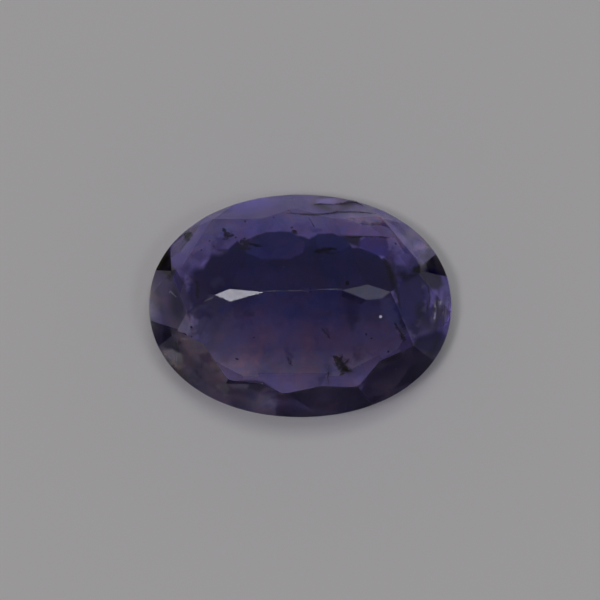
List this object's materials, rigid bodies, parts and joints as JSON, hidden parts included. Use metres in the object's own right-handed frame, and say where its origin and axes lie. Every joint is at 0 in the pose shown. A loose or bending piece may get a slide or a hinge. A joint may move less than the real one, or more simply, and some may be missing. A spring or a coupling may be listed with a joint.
{
  "type": "faceted iolite gemstone",
  "caption": "Loose oval cut stone in violet-blue iolite with ten-fold facets and a short keel at the back, lying on its table with the back up.",
  "frame": {"origin": "middle of the table facet, on the plane that the stone rests on", "axes": "+X along the length of the oval, +Y across it, +Z from the table to the keel"},
  "size_m": [0.012, 0.009, 0.0055],
  "materials": {
    "stone": "polished clear violet-blue crystal with small natural inclusions and lightly worn facet edges"
  },
  "bodies": {
    "root": {"iolite": "stone"}
  },
  "joints": []
}
